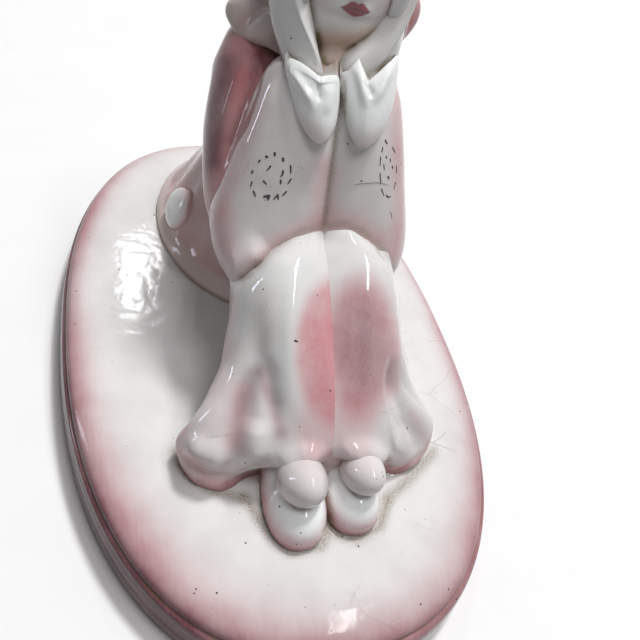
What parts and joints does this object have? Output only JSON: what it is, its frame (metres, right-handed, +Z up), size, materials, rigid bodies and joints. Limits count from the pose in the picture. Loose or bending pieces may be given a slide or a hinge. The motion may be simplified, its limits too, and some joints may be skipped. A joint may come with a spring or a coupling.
{
  "type": "pierrot figurine",
  "caption": "Glazed ceramic shelf ornament: a seated pierrot with its chin in its hands, elbows on drawn-up knees, on an oval plinth with a grooved pink edge.",
  "frame": {"origin": "centre of the foot of the plinth, on the surface that it stands on", "axes": "+Z is up, the figure faces -Y along the plinth's long axis, +X is to the viewer's right"},
  "size_m": [0.145, 0.228, 0.1559],
  "materials": {
    "white_glaze": "high gloss white glaze over slip-cast ceramic",
    "pink_glaze": "high gloss pink airbrushed glaze over slip-cast ceramic",
    "blush_glaze": "high gloss white glaze with a pink airbrushed blush"
  },
  "bodies": {
    "root": {"plinth": "white_glaze", "tunic_skirt": "pink_glaze", "skirt_button_left": "white_glaze", "skirt_button_right": "white_glaze", "skirt_button_back": "white_glaze", "blouse": "pink_glaze", "ruff": "pink_glaze", "head": "white_glaze", "skull_cap": "pink_glaze", "trouser_leg_left": "blush_glaze", "shoe_left": "white_glaze", "shoe_pompom_left": "white_glaze", "upper_sleeve_left": "pink_glaze", "forearm_sleeve_left": "white_glaze", "cuff_left": "white_glaze", "hand_left": "white_glaze", "trouser_leg_right": "blush_glaze", "shoe_right": "white_glaze", "shoe_pompom_right": "white_glaze", "upper_sleeve_right": "pink_glaze", "forearm_sleeve_right": "white_glaze", "cuff_right": "white_glaze", "hand_right": "white_glaze"}
  },
  "joints": []
}
